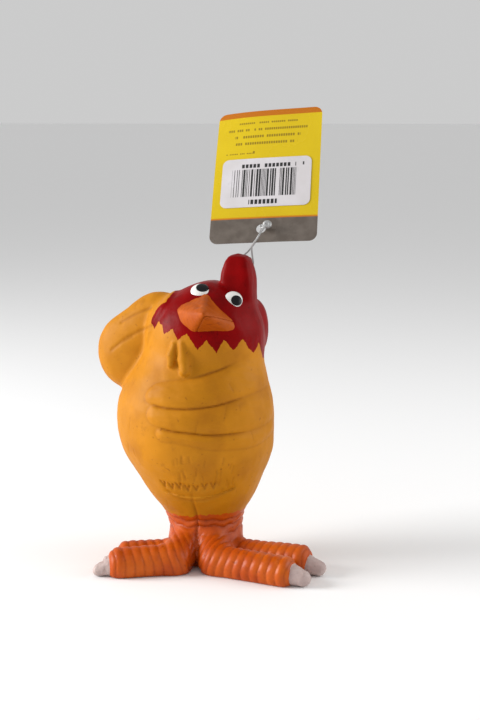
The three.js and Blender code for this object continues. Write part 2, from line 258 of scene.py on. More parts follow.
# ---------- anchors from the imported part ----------

_, HEAD_HIGH, HEAD, HEAD_HALF = box_mm("head_skin")
HEAD_RADII = np.array([HEAD_HALF[0], HEAD_HALF[1], 24.5])
HEAD = np.array([HEAD[0], HEAD[1], HEAD_HIGH[2] - HEAD_RADII[2]])
LEG_LOW, LEG_HIGH, LEG, _ = box_mm("leg_column")
SOLE = LEG_LOW[2]
PAINT_Z = LEG_HIGH[2]
joints = frame["record"]["behaviour"]["joints"]
joint_place = {j["name"]: np.array(j["pos_m"]) / MM for j in joints if "pos_m" in j}

# Body: height above the sole, radius, centre x, centre y, depth over width.
BODY = [
    (-3, 17.4, 1.2, -1.6, 0.86), (4, 18.2, 1.2, -1.6, 0.86), (9, 17.3, 1.2, -1.5, 0.86),
    (14, 16.9, 1.5, -1.4, 0.87), (19.5, 17.7, 1.0, -1.2, 0.88), (24, 19.5, 0.4, -0.8, 0.9),
    (28, 22.5, -0.2, -0.3, 0.9), (40, 29.2, -1.6, 0, 0.9),
    (51, 34.3, -2.8, 0, 0.9), (62, 35.8, -3.7, 0, 0.9), (74, 34.9, -3.5, 0, 0.9), (83, 31.7, -2.4, 0, 0.9),
    (92, 27.9, -0.4, 0, 0.9), (99.5, 26.2, 1.4, 0, 0.9), (106, 24.0, 2.0, 0, 0.9), (114, 18.0, 2.0, 0, 0.9),
]
body_radius, body_x, body_y, body_depth = [
    curve_through([(row[0] + SOLE, row[i]) for row in BODY]) for i in (1, 2, 3, 4)
]


def body_field(p):
    x, y, z = p.T
    flat = np.hypot(x - body_x(z), (y - body_y(z)) / body_depth(z))
    return np.maximum((flat - body_radius(z)) * 0.9, z - 109)


BELLY_ROUND = 33   # mean radius, which turns angle into distance


def around(p):
    """Distance round the belly from its middle, in millimetres, towards +X."""
    x, y, z = p.T
    return BELLY_ROUND * np.arctan2(x - body_x(z), -(y - body_y(z)) / body_depth(z))


# Head: round, with a squarish comb lobe, a thin lobe behind it and a bulge at the nape.
COMB_TOP = box_mm("comb")[1][2]
comb_half = curve_through([
    (-26, 8.0), (-17, 7.7), (-9.6, 7.3), (-6.9, 6.9), (-4.2, 6.1),
    (-1.4, 4.8), (0.0, 3.3), (0.9, 0.2), (4, -3.5),
])
THUMB = np.array([16.1, 1.0])
FIN_X = 17.6
FIN = [(0, 118), (6, 132), (10.5, 137.0), (14.5, 134.5), (18.5, 129), (22, 121), (22, 112), (10, 108)]
fin_outline = smooth_loop(FIN)


def comb_field(p):
    x, y, z = p.T
    half = comb_half(z - COMB_TOP)
    u, v = np.abs(x - THUMB[0]) + 1e-6, np.abs(y - THUMB[1]) + 1e-6
    thumb = (u ** 4.2 + (v * 1.05) ** 4.2) ** (1 / 4.2) - half
    thumb = np.maximum(thumb * 0.86, 112 - z)
    out = np.full(len(p), 9.0)
    near = (np.abs(x - FIN_X) < 9) & (z > 98) & (y > -9) & (y < 31)
    if near.any():
        side = np.abs(x[near] - FIN_X) - 1.9
        flat = outline_field(y[near], z[near], fin_outline)
        r = 1.1
        corner = np.hypot(np.maximum(side + r, 0), np.maximum(flat + r, 0))
        out[near] = np.minimum(np.maximum(side, flat) + r, 0) + corner - r
    return melt(thumb, out, 0.9)


def skull_field(p, grow=0.0):
    slope = (p - HEAD) @ np.array((-0.5, 0.0, 0.866)) - 23.4
    return both(ellipsoid(p, HEAD, HEAD_RADII + grow), slope - grow, 5)


def head_field(p):
    d = skull_field(p)
    nape = ellipsoid(p, (20.2, 9.6, 104.6), (7.2, 10.6, 14.2))
    d = melt(d, nape, 0.9)
    return melt(d, comb_field(p), 1.6)


WING_ARM = ((-32.2, 1, 93.4), (18.1, 9.6, 18.3))
WING_HAND = ((-21.4, 3.0, 109.4), (12.9, 8.6, 11.6))
WING_PALM = ((-34, -1, 100), (-16.9, -6.5, 113.6), 10.0, 10.6)


def wing_field(p, grow=0.0):
    """The raised wing: its arm, and its hand lying against the side of the head."""
    arm = ellipsoid(p, WING_ARM[0], np.array(WING_ARM[1]) + grow)
    hand = ellipsoid(p, WING_HAND[0], np.array(WING_HAND[1]) + grow)
    start, end, r0, r1 = WING_PALM
    palm = both(rod(p, start, end, r0 + grow, r1 + grow), skull_field(p, 0.9 + grow), 1.0)
    return melt(melt(arm, hand, 9), palm, 3)


# Toes: ankle, tip, radius; the claws stand in their ends.
TOES = {
    "right_front": ((-6, -26.5, 4.6), (-31.0, -39.0, 4.9), 7.7),
    "right_rear": ((-8, -15, 4.6), (-31.6, -26.6, 5.0), 6.8),
    "left_front": ((13, -22.5, 4.6), (48.4, -30.6, 4.7), 7.7),
    "left_rear": ((12, -6, 3.6), (52.0, -15.0, 6.2), 7.2),
}
INSTEPS = {"right_front": (-2.0, -7.0, 10.5), "left_front": (4.5, -7.0, 10.5)}


def toe_field(p, toe):
    ankle, tip, radius = toe
    ankle, tip = np.array(ankle), np.array(tip)
    way = (tip - ankle) / np.linalg.norm(tip - ankle)
    d = rod(p, ankle, tip + 4 * way, radius, radius * 0.94)
    end = (p - tip) @ way - 0.9
    return both(d, end, 4.5)


def toes_field(p):
    d = np.full(len(p), 1e9)
    for side in ("right", "left"):
        front, rear = f"{side}_front", f"{side}_rear"
        foot = melt(toe_field(p, TOES[front]), toe_field(p, TOES[rear]), 2.4)
        ankle, _, radius = TOES[front]
        d = np.minimum(d, melt(foot, rod(p, INSTEPS[front], ankle, 9.0, radius), 3.0))
    return d


def tail_field(p):
    """Three short feathers side by side on a stub."""
    d = rod(p, (-3.6, 24, 60), (-3.6, 34, 68), 8.4, 5.6)
    for x, y, z, r in ((-9.2, 38.2, 72.2, 1.6), (-3.6, 40.6, 74.8, 1.9), (2.0, 38.2, 72.2, 1.6)):
        d = melt(d, rod(p, (-3.6 + (x + 3.6) * 0.45, 30, 65), (x, y, z), 4.2, r), 0.9)
    return d


SQUEAKER_MOUTH = np.array((-2.0, 28.2, 44.5))
SQUEAKER_TILT = math.radians(20)
SQUEAKER_LENGTH = 15.0


def squeaker_lip(p):
    """A soft raised ring round the hole in the back."""
    axis = np.array((0, math.cos(SQUEAKER_TILT), -math.sin(SQUEAKER_TILT)))
    q = p - SQUEAKER_MOUTH
    along = q @ axis
    out = np.linalg.norm(q - along[:, None] * axis, axis=1)
    return np.hypot(out - 8.6, along + 1.0) - 1.5


WATTLES = [
    [(-6.0, -24.4, 101.5), (-6.9, -24.3, 97.0), (-7.2, -25.2, 93.2), 1.1, 2.3, 1.7],
    [(-2.2, -25.0, 102.0), (-1.2, -24.9, 95.6), (-0.4, -26.3, 90.6), 1.2, 2.9, 2.5],
]


def wattle_field(p):
    d = np.full(len(p), 1e9)
    for top, middle, low, r0, r1, r2 in WATTLES:
        drop_shape = melt(rod(p, top, middle, r0, r1), rod(p, middle, low, r1, r2), 0.8)
        d = np.minimum(d, drop_shape)
    return d


def chicken(p):
    d = melt(body_field(p), head_field(p), 1.6)
    d = melt(d, wing_field(p), 2.6)
    d = melt(d, tail_field(p), 5)
    d = melt(d, squeaker_lip(p), 1.6)
    d = melt(d, wattle_field(p), 1.5)
    d = melt(d, toes_field(p), 4.5)
    return both(d, SOLE - p[:, 2], 1.0)


# ---------- relief of the skin ----------

# Folded wing across the belly, as curves of height over distance round it.
upper_edge = curve_through([
    (-17, 82.8), (-12.5, 84.6), (-3.7, 86.5), (3.3, 87.3), (7.9, 88.3),
    (12.8, 89.6), (18, 91), (26, 94), (40, 97.5), (60, 99),
])
crease_a = curve_through([
    (-17, 76.2), (-12.2, 75.7), (-4.6, 74.8), (5, 74.7), (12.4, 75.4),
    (19.1, 76.5), (26, 78), (40, 80), (60, 81),
])
crease_b = curve_through([
    (-12, 67.4), (-6, 66), (-1.8, 65.1), (6.6, 64.3), (14.7, 63.4),
    (21.9, 63.4), (30.4, 63.6), (44, 65), (60, 68),
])
lower_edge = curve_through([
    (-9, 60.6), (-5.9, 60), (3.5, 59.3), (14.3, 56.9), (24.2, 56.3), (34, 56.3), (44, 58), (60, 62),
])
FINGERS = [(upper_edge, crease_a, -16.4), (crease_a, crease_b, -13.0), (crease_b, lower_edge, -8.2)]
LOWER_FOLD = [
    (-10.7, 35.1), (-7.5, 33.4), (-4.1, 32.5), (0.5, 31.9), (5, 31.8),
    (10, 32.4), (15.6, 33.7), (21, 35.2), (26.3, 37),
]
COLUMN_RINGS = [20.8, 18.0, 14.4]


def fingers(s, z):
    """Signed distance to the outline of the folded wing's three feathers."""
    best = np.full(len(s), 1e9)
    for high, low, tip in FINGERS:
        top, bottom = high(s), low(s)
        middle, half = (top + bottom) / 2, (top - bottom) / 2
        past = np.maximum(tip + half - s, 0)
        best = np.minimum(best, np.hypot(past, z - middle) - half)
    return best


def line_groove(distance, width):
    return np.exp(-(distance / width) ** 2)


rng = np.random.default_rng(11)
STROKES = []
for i in range(26):
    s0, z0 = rng.uniform(-2, 26), rng.uniform(40, 54)
    lean = rng.uniform(-0.25, 0.1)
    STROKES.append([(s0, z0), (s0 + lean * 3, z0 - rng.uniform(2.2, 4.2))])
NICKS = []
for i in range(7):
    s0 = -11.3 + i * 4.4
    z0 = 38.4 + 0.004 * (s0 + 2) ** 2 + rng.uniform(-0.5, 0.5)
    NICKS.append([(s0 - 1.1, z0 + 1.3), (s0, z0 - 1.1 + rng.uniform(-0.3, 0.3)), (s0 + 1.2, z0 + 1.2)])
SCRATCHES = []
for i in range(34):
    s0, z0 = rng.uniform(-50, 150), rng.uniform(30, 92)
    turn = rng.uniform(-0.6, 0.6)
    reach = rng.uniform(2, 7)
    SCRATCHES.append([(s0, z0), (s0 + reach * math.sin(turn), z0 - reach * math.cos(turn))])
WING_LINES = [
    [(-37, 107.4), (-30, 111.4), (-22.5, 114.6)], [(-34.5, 100.4), (-26.5, 104.6), (-18.2, 108.6)],
    [(-41, 95.0), (-36, 99.0), (-31, 101.6)],
]


SCALE_PITCH = 4.2
SCALE_NOTCH = np.array([3.0, -19.0, 0])   # where the scales of both feet fan out from


def deepen(groove, cut, where=slice(None)):
    """Keeps the deeper of the groove so far and the new cut."""
    groove[where] = np.maximum(groove[where], cut)


def deepest(lines, width, u, v):
    """The deepest of several thin grooves, each along a polyline."""
    best = np.zeros(len(u))
    for line in lines:
        best = np.maximum(best, line_groove(polyline(u, v, line), width))
    return best


def fold_wing(p, s, belly, front, height, groove):
    """Three raised feathers across the belly, with creases between them and streaks along them."""
    z = p[:, 2]
    shoulder = ramp(-s, -66, -44)
    finger = fingers(s, z)
    height += 0.95 * ramp(-finger, -1.0, 3.8) * belly * front * shoulder
    edge = line_groove(finger, 0.6) * (0.28 + 0.72 * ramp(s, 2, 12) * ramp(-s, -34, -24) * ramp(z, 80, 86))
    first = line_groove(z - crease_a(s), 0.5) * ramp(s, -13, -9)
    second = line_groove(z - crease_b(s), 0.5) * ramp(s, -9, -3)
    inner = np.maximum(first, second) * ramp(-s, -36, -22)
    cut = np.maximum(edge, inner) * belly * front * shoulder
    deepen(groove, cut)
    height -= 0.5 * cut
    streaks = wave(p * (0.3, 0.3, 1.0), 2.6, 5) * ramp(-finger, 0.5, 3.0)
    height += 0.09 * streaks * belly * front * shoulder
    ridge = line_groove(z - crease_b(s) + 1.9, 1.3) * ramp(s, -8, -3) * ramp(-s, -40, -26)
    height += 0.35 * ridge * belly * front


def fold_belly(p, s, height, groove):
    """The fold low on the belly, with feather strokes and a row of nicks above it."""
    y, z = p[:, 1], p[:, 2]
    near = (np.abs(s) < 46) & (z > 26) & (z < 62) & (y < 4)
    if not near.any():
        return
    sn, zn = s[near], z[near]
    fold = polyline(sn, zn, LOWER_FOLD)
    side = np.where(zn < 33.5 + 0.006 * (sn - 3) ** 2, 1, -1)
    lift = 0.35 * line_groove(fold, 2.2) * side
    cut = 0.45 * line_groove(fold, 0.8)
    strokes = deepest(STROKES, 0.38, sn, zn)
    nicks = deepest(NICKS, 0.5, sn, zn)
    height[near] += lift - 0.5 * cut - 0.22 * strokes - 0.5 * nicks
    deepen(groove, np.maximum(0.8 * cut, np.maximum(0.28 * strokes, 0.7 * nicks)), near)


def scratch_body(p, s, belly, height, groove):
    body = belly > 0.5
    if not body.any():
        return
    sb = np.where(s[body] < -60, s[body] + 2 * math.pi * BELLY_ROUND, s[body])
    marks = deepest(SCRATCHES, 0.35, sb, p[body, 2])
    height[body] -= 0.12 * marks
    deepen(groove, 0.3 * marks, body)


def crease_raised_wing(p, on_wing, height, groove):
    wing = on_wing * ramp(-p[:, 1], -1, 3)
    lines = np.zeros(len(p))
    near = wing > 0
    if near.any():
        lines[near] = deepest(WING_LINES, 0.7, p[near, 0], p[near, 2])
    height -= 0.34 * lines * wing
    deepen(groove, 0.5 * lines * wing)


def ring_legs(p, s, height, groove):
    """Rings round the column, scales along the toes that fan out of the notch, and a seam in front."""
    x, y, z = p.T
    column = body_field(p)
    toes = toes_field(p)
    legs = ramp(-z, -25.5, -22.5)
    toe_part = ramp(column - toes, -1.8, 1.2) * ramp(-z, -17, -13.5) * legs
    high_part = (1 - toe_part) * ramp(z, 7.5, 10.5) * legs
    wobble = 0.5 * np.sin(s * 0.16) + 0.3 * np.sin(s * 0.43 + 1)
    for ring in COLUMN_RINGS:
        cut = line_groove(z - ring - wobble - 0.02 * np.abs(s - 2), 0.62)
        height -= 0.5 * cut * high_part
        deepen(groove, 0.6 * cut * high_part)
    scales = np.zeros(len(p))
    for side, front_toe in ((-1, "right_front"), (1, "left_front")):
        ankle, tip, _ = TOES[front_toe]
        way = np.array(tip) - np.array(ankle)
        way[2] = 0
        way /= np.linalg.norm(way)
        a = (p - SCALE_NOTCH) @ way
        fan = a - 0.62 * z * np.exp(-np.maximum(a, 0) / 15)
        bent = fan + 0.25 * np.sin(z * 0.5 + y * 0.2)
        mine = (x - 2.4) * side > 0
        scales = np.where(mine, np.abs(np.sin(math.pi * bent / SCALE_PITCH)), scales)
    low = np.maximum(toe_part, (1 - ramp(z, 7.5, 10.5)) * legs)
    height += 0.5 * (scales ** 0.75 - 0.75) * low * ramp(z, 0.4, 1.6)
    deepen(groove, 0.55 * (1 - scales) ** 3 * low)
    seam = line_groove(x - 1.9 - 0.25 * np.sin(z * 0.35), 0.6) * ramp(-y, 2, 8) * ramp(-z, -40, -26)
    height -= 0.55 * seam
    deepen(groove, 0.55 * seam)


def relief_parts(p):
    """Raised height, and how deep in a groove each point is (0 to 1), which the paint turns into painted
    shade.
    """
    y, z = p[:, 1], p[:, 2]
    s = around(p)
    height = np.zeros(len(p))
    groove = np.zeros(len(p))
    front = ramp(-y, -6, 6)
    on_wing = ramp(wing_field(p), 2.0, 0.2)
    off_head = ramp(ellipsoid(p, HEAD, HEAD_RADII), 0.3, 1.5)
    belly = (1 - on_wing) * ramp(z, 24, 27) * ramp(-z, -103, -99) * off_head
    fold_wing(p, s, belly, front, height, groove)
    fold_belly(p, s, height, groove)
    scratch_body(p, s, belly, height, groove)
    crease_raised_wing(p, on_wing, height, groove)
    ring_legs(p, s, height, groove)
    height += 0.10 * wave(p, 14, 3) + 0.05 * wave(p, 5, 4)
    return height * ramp(z, 0.05, 0.9), np.clip(groove, 0, 1)


def relief(p, normals):
    return relief_parts(p)[0]


def mark_grooves(obj):
    """Stores how deep in a groove each vertex is, for the painted shade that darkens the grooves."""
    count = len(obj.data.vertices)
    flat = np.empty(count * 3, np.float32)
    obj.data.vertices.foreach_get("co", flat)
    _, groove = relief_parts(flat.reshape(-1, 3).astype(float) / MM)
    layer = obj.data.attributes.new("groove", "FLOAT", "POINT")
    layer.data.foreach_set("value", groove.astype(np.float32))


# ---------- cutting tools for the paint zones ----------

def polar_sheet(name, centre, heights, top, inner=8.0, outer=70.0):
    """A solid from a sheet, given as height over angle round an axis, up or down to a level."""
    count = len(heights)
    angle = np.arange(count) * 2 * math.pi / count
    points = [(centre[0], centre[1], float(np.mean(heights))), (centre[0], centre[1], top)]
    for a, h in zip(angle, heights):
        for r, z in ((inner, h), (outer, h), (outer, top)):
            points.append((centre[0] + r * math.sin(a), centre[1] - r * math.cos(a), z))
    faces = []
    for i in range(count):
        a, b = 2 + 3 * i, 2 + 3 * ((i + 1) % count)
        ring = [(0, b, a), (a, b, b + 1, a + 1), (a + 1, b + 1, b + 2, a + 2), (1, a + 2, b + 2)]
        faces += ring if top > heights[0] else [face[::-1] for face in ring]
    return new_object(name, points, faces)


# The fringe: angle round the head from its front towards +X, in degrees, and height.
FRINGE = [
    (-66, 112.4), (-61, 108.4), (-55, 109.6), (-50, 106.9), (-44.1, 110.6), (-36.5, 109.1),
    (-32, 105.6), (-21.3, 108.4), (-14.6, 103.8), (-4.7, 106.9), (7.1, 99.9), (15.8, 104.2),
    (26.1, 98.6), (33.6, 104.4), (43.8, 99.2), (53.7, 104.2),
    (63, 99.0), (70.7, 97.0), (77.8, 101.2), (90, 93.4), (101, 92.6), (110, 98.4), (122, 92.8), (133, 98.6),
    (145, 93.6), (156, 99.4), (168, 94.6), (180, 100.2), (192, 95.6), (203, 101.4), (214, 97.0), (225, 103.0),
    (237, 99.0), (250, 104.5), (262, 101.0), (276, 107), (288, 105),
]


def fringe_heights(count=720):
    angle = np.arange(count) * 360 / count
    marks = np.array(FRINGE)
    turn, high = marks[:, 0] % 360, marks[:, 1]
    order = np.argsort(turn)
    turn, high = turn[order], high[order]
    turn = np.concatenate([[turn[-1] - 360], turn, [turn[0] + 360]])
    high = np.concatenate([[high[-1]], high, [high[0]]])
    at = np.interp(angle, turn, high)
    return at + 0.18 * np.sin(angle * 0.9) + 0.12 * np.sin(angle * 2.3 + 1)


def paint_heights(count=360):
    angle = np.arange(count) * 2 * math.pi / count
    step = 0.7 * np.tanh(8 * (np.sin(angle) * 1.2))
    rough = 0.22 * np.sin(angle * 17) + 0.18 * np.sin(angle * 31 + 2) + 0.15 * np.sin(angle * 53)
    return PAINT_Z + 0.9 + step + rough


# ---------- skin pieces ----------

def wing_zone_field(p):
    return both(wing_field(p, 0.5), -ellipsoid(p, HEAD, HEAD_RADII - 3), 0.5)


STEP = 1.1
points, quads = skin_mesh(chicken, (-54, -50, -3), (62, 47, 142), STEP, relief)
whole = new_object("whole", points, quads)

head_zone = polar_sheet("head_zone", HEAD[:2], fringe_heights(), 160)
foot_zone = polar_sheet("foot_zone", LEG[:2], paint_heights(), -12)
wing_zone = new_object("wing_zone", *skin_mesh(wing_zone_field, (-54, -14, 72), (0, 18, 125), 1.6))

raised_wing = boolean(whole, wing_zone, "INTERSECT", "raised_wing_skin")
rest = boolean(whole, wing_zone, "DIFFERENCE")
head = boolean(rest, head_zone, "INTERSECT", "head_and_comb")
lower = boolean(rest, head_zone, "DIFFERENCE")
feet = boolean(lower, foot_zone, "INTERSECT", "feet")
torso = boolean(lower, foot_zone, "DIFFERENCE", "torso")
drop(whole, wing_zone, rest, head_zone, lower, foot_zone)

for obj in (raised_wing, head, feet, torso):
    smooth(obj, 40)
    mark_grooves(obj)

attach(raised_wing, "root")
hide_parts("raised_wing", "raised_wing_hand")
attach(head, "root")
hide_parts("head_skin", "comb", "nape_lobe")

# ---------- materials ----------

class Finish:
    """A procedural material, written as expressions over its shader nodes."""

    def __init__(self, name, colour, roughness, **fixed):
        self.material = bpy.data.materials.new(name)
        self.material.use_nodes = True
        self.tree = self.material.node_tree
        self.shader = self.tree.nodes["Principled BSDF"]
        self.set("Base Color", colour)
        self.set("Roughness", roughness)
        for key, value in fixed.items():
            self.set(key.replace("_", " "), value)

    def set(self, socket, value):
        self.feed(self.shader.inputs[socket], value)

    def feed(self, socket, value):
        if isinstance(value, bpy.types.NodeSocket):
            self.tree.links.new(value, socket)
        elif isinstance(value, tuple) and len(value) == 3 and socket.type == "RGBA":
            socket.default_value = (*value, 1)
        else:
            socket.default_value = value

    def node(self, kind, inputs=(), **settings):
        made = self.tree.nodes.new("ShaderNode" + kind)
        for key, value in settings.items():
            setattr(made, key, value)
        for key, value in dict(inputs).items():
            self.feed(made.inputs[key], value)
        return made

    def math(self, operation, a, b=0.0, c=0.0):
        return self.node("Math", {0: a, 1: b, 2: c}, operation=operation).outputs[0]

    def mix(self, factor, a, b):
        made = self.node("Mix", data_type="RGBA")
        self.feed(made.inputs[0], factor)
        self.feed(made.inputs[6], a)
        self.feed(made.inputs[7], b)
        return made.outputs[2]

    def span(self, value, low, high, to_low=0.0, to_high=1.0):
        inputs = {"Value": value, "From Min": low, "From Max": high, "To Min": to_low, "To Max": to_high}
        return self.node("MapRange", inputs).outputs[0]

    def place(self):
        return self.node("TexCoord").outputs["Object"]

    def noise(self, size, seed=0.0, detail=3.0, rough=0.5, place=None):
        """Noise with blotches of about this size in millimetres."""
        inputs = {
            "Vector": place or self.place(), "W": seed, "Scale": 0.6 / (size * MM),
            "Detail": detail, "Roughness": rough,
        }
        return self.node("TexNoise", inputs, noise_dimensions="4D").outputs[0]

    def attribute(self, name):
        return self.node("Attribute", attribute_name=name)

    def bump(self, height, depth):
        """Fine unevenness of this depth in millimetres."""
        made = self.node("Bump", {"Height": height, "Strength": 1.0, "Distance": depth * MM})
        self.set("Normal", made.outputs[0])

    def on(self, obj):
        obj.data.materials.clear()
        obj.data.materials.append(self.material)


def latex(name, colour, light, dark, dirt_and_groove_shade, rough=(0.38, 0.58), blotch=16, **fixed):
    f = Finish(name, colour, 0.45, **fixed)
    tone = f.mix(f.span(f.noise(blotch, 1), 0.42, 0.66), colour, light)
    tone = f.mix(f.span(f.noise(blotch * 0.45, 5, 4), 0.5, 0.72, 0, 0.65), tone, dark)
    smear = f.span(f.noise(5, 9, 5, 0.65), 0.60, 0.72, 0, 0.35)
    tone = f.mix(smear, tone, dirt_and_groove_shade)
    specks = f.span(f.noise(1.3, 3, 1), 0.70, 0.76, 0, 0.4)
    tone = f.mix(specks, tone, dirt_and_groove_shade)
    # Painted shade: the grooves, creases, scales and seams take the dark colour, as deep as the groove
    # attribute says.
    groove = f.math("MULTIPLY", f.attribute("groove").outputs["Fac"], 0.65)
    f.set("Base Color", f.mix(groove, tone, dirt_and_groove_shade))
    f.set("Roughness", f.span(f.noise(7, 2, 4), 0.3, 0.7, *rough))
    fine = f.math("ADD", f.noise(0.9, 4, 2), f.math("MULTIPLY", f.noise(4, 6, 3), 1.5))
    f.bump(fine, 0.10)
    return f


# Each finish: base, lighter and darker blotch tones, and one dark colour used for dirt smears and specks and
# for the painted shade in the grooves.
yellow = latex(
    "latex_yellow", (0.46, 0.172, 0.002), (0.54, 0.205, 0.004), (0.37, 0.125, 0.002), (0.20, 0.055, 0.002),
    rough=(0.48, 0.64), Specular_IOR_Level=0.16
)
red = latex(
    "latex_red", (0.190, 0.0001, 0.0006), (0.240, 0.0002, 0.0010),
    (0.130, 0.0001, 0.0004), (0.05, 0.0001, 0.0003), rough=(0.34, 0.46), blotch=10, Specular_IOR_Level=0.06
)
orange = latex(
    "latex_orange", (0.46, 0.066, 0.001), (0.56, 0.105, 0.003), (0.34, 0.040, 0.001), (0.15, 0.014, 0.001),
    rough=(0.34, 0.52), blotch=9, Specular_IOR_Level=0.24
)
beak_paint = latex(
    "beak_orange", (0.38, 0.068, 0.001), (0.46, 0.090, 0.002), (0.29, 0.044, 0.001), (0.18, 0.020, 0.001),
    rough=(0.42, 0.56), blotch=8, Specular_IOR_Level=0.14
)
claw_paint = latex(
    "claw_pink", (0.44, 0.33, 0.31), (0.52, 0.41, 0.38), (0.34, 0.24, 0.22), (0.20, 0.13, 0.11),
    rough=(0.45, 0.6), blotch=5, Specular_IOR_Level=0.3
)

for obj, finish in ((raised_wing, yellow), (torso, yellow), (head, red), (feet, orange)):
    finish.on(obj)

white_eye = Finish("eye_white", (0.80, 0.80, 0.76), 0.3, Coat_Weight=0.3, Coat_Roughness=0.1)
worn = white_eye.span(white_eye.noise(2.2, 7), 0.5, 0.75, 0, 0.5)
white_eye.set("Base Color", white_eye.mix(worn, (0.80, 0.80, 0.76), (0.60, 0.60, 0.58)))
black = Finish("pupil_black", (0.003, 0.003, 0.004), 0.25, Specular_IOR_Level=0.25)
black.set("Roughness", black.span(black.noise(1.5, 8), 0.3, 0.7, 0.20, 0.36))

# ---------- eyes ----------

def axes_of(facing):
    n = np.array(facing, float)
    n /= np.linalg.norm(n)
    e1 = np.cross((0, 0, 1), n)
    e1 /= np.linalg.norm(e1)
    return e1, np.cross(n, e1), n


def dome_height(u, v, radius, rise):
    t = np.clip(np.hypot(u, v) / radius, 0, 1)
    return rise * (1 - t ** 2.6) ** 0.75


def eye_shell(name, centre, facing, outline, height, thick):
    """A closed shell over the disc inside an outline, following height(u, v)."""
    e1, e2, n = axes_of(facing)
    outline = np.array(outline)
    middle = outline.mean(axis=0)
    count, rings = len(outline), 14
    points, faces = [], []
    for top in (1, 0):
        for ring in range(rings + 1):
            for u, v in middle + (outline - middle) * max(ring / rings, 1e-3):
                h = float(height(u, v)) if top else -thick
                points.append(centre + e1 * u + e2 * v + n * h)
    layer = count * (rings + 1)
    for i in range(count):
        j = (i + 1) % count
        for ring in range(rings):
            a, b = ring * count, (ring + 1) * count
            faces.append((a + i, b + i, b + j, a + j))
            faces.append((layer + a + j, layer + b + j, layer + b + i, layer + a + i))
        a = rings * count
        faces.append((a + i, layer + a + i, layer + a + j, a + j))
    faces.append(tuple(range(count)))
    faces.append(tuple(layer + i for i in reversed(range(count))))
    obj = new_object(name, points, faces)
    smooth(obj, 50)
    return obj


def oval(centre, half_wide, half_high, turn=0.0, count=48):
    angle = np.arange(count) * 2 * math.pi / count
    u, v = half_wide * np.cos(angle), half_high * np.sin(angle)
    c, s = math.cos(turn), math.sin(turn)
    return [(centre[0] + a * c - b * s, centre[1] + a * s + b * c) for a, b in zip(u, v)]


EYES = {
    "right": ((0.5, -12.2, 21.0), (0.05, -0.66, 0.75), (1.2, 0.9), (2.7, 2.55), 0.2),
    "left": ((15.1, -9.7, 17.3), (0.40, -0.74, 0.54), (1.0, -1.0), (2.5, 2.3), 0.15),
}
for side, (offset, facing, pupil_at, pupil_half, turn) in EYES.items():
    centre = HEAD + np.array(offset)
    eye = eye_shell(
        f"{side}_eye_dome", centre, facing, oval((0, 0), 4.0, 3.8),
        lambda u, v: dome_height(u, v, 4.15, 1.5), 1.6
    )
    white_eye.on(eye)
    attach(eye, "root")
    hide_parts(f"{side}_eye")
    pupil = eye_shell(
        f"{side}_pupil_paint", centre, facing, oval(pupil_at, *pupil_half, turn),
        lambda u, v: dome_height(u, v, 4.25, 1.5) + 0.16, 0.4
    )
    black.on(pupil)
    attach(pupil, "root")
    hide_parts(f"{side}_pupil")

# ---------- beak ----------

TIP = HEAD + np.array((8.4, -34.4, 14.4))
ROOT_TOP = HEAD + np.array((4.4, -14.6, 20.0))
ROOT_BULGE = [HEAD + np.array(q) for q in (
    (-2.6, -17.2, 17.6), (-7.6, -18.6, 14.9), (-7.9, -20.4, 11.4), (-4.6, -22.8, 7.3),
)]
ROOT_LOW_LEFT = HEAD + np.array((1.2, -24.0, 4.2))
ROOT_LOW_RIGHT = HEAD + np.array((17.2, -18.4, 4.4))
ROOT_RIGHT = HEAD + np.array((17.4, -16.4, 8.9))
INSIDE = HEAD + np.array((6.0, -16.0, 12.0))


def facet(p, a, b, c):
    """Signed distance to the plane through three points, negative on the beak's inside."""
    n = np.cross(b - a, c - a)
    n /= np.linalg.norm(n)
    if (INSIDE - a) @ n > 0:
        n = -n
    return (p - a) @ n


def beak_field(p):
    corners = [ROOT_TOP, *ROOT_BULGE, ROOT_LOW_LEFT]
    left = facet(p, TIP, corners[0], corners[1])
    for a, b in zip(corners[1:-1], corners[2:]):
        left = both(left, facet(p, TIP, a, b), 1.8)
    low = both(facet(p, TIP, ROOT_LOW_LEFT, ROOT_LOW_RIGHT), facet(p, TIP, ROOT_LOW_RIGHT, ROOT_RIGHT), 2.5)
    d = both(both(left, facet(p, TIP, ROOT_RIGHT, ROOT_TOP), 1.6), low, 1.4)
    return both(d, -ellipsoid(p, HEAD, HEAD_RADII - 0.5), 0.3)


def mouth_plane(p):
    """Above is the upper half of the beak."""
    n = np.cross(ROOT_RIGHT - TIP, ROOT_LOW_LEFT - TIP)
    n /= np.linalg.norm(n)
    if n[2] < 0:
        n = -n
    return (p - TIP) @ n


def upper_beak_field(p):
    return both(beak_field(p), 0.05 - mouth_plane(p), 0.15)


def lower_beak_field(p):
    return both(beak_field(p), mouth_plane(p) + 0.05, 0.15)


NOSTRILS = [TIP + np.array(q) for q in ((2.6, 7.5, 0.7), (-4.8, 8.6, 1.6))]


def beak_relief(p, normals):
    dent = sum(np.exp(-(((p - q) * (0.5, 0.35, 1.0)) ** 2).sum(axis=1) / 0.55) for q in NOSTRILS)
    return 0.10 * wave(p, 6, 21) + 0.05 * wave(p, 2.5, 22) - 0.45 * dent


beak_low = HEAD + np.array((-14, -38, -2))
beak_high = HEAD + np.array((24, -8, 26))
BEAK_HALVES = (
    ("upper_beak_shell", upper_beak_field, "upper_beak"),
    ("lower_beak_shell", lower_beak_field, "lower_beak"),
)
for name, field, node in BEAK_HALVES:
    piece = new_object(name, *skin_mesh(field, beak_low, beak_high, 0.55, beak_relief))
    smooth(piece, 50)
    beak_paint.on(piece)
    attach(piece, "root")
    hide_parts(node)

# ---------- claws ----------

# Each claw's radius at its root and at its end, and how far it reaches past the end of the toe.
CLAWS = {
    "right_front": (4.4, 2.5, 5.6), "right_rear": (4.2, 2.4, 5.0),
    "left_front": (4.9, 3.5, 5.2), "left_rear": (4.6, 3.2, 5.4),
}


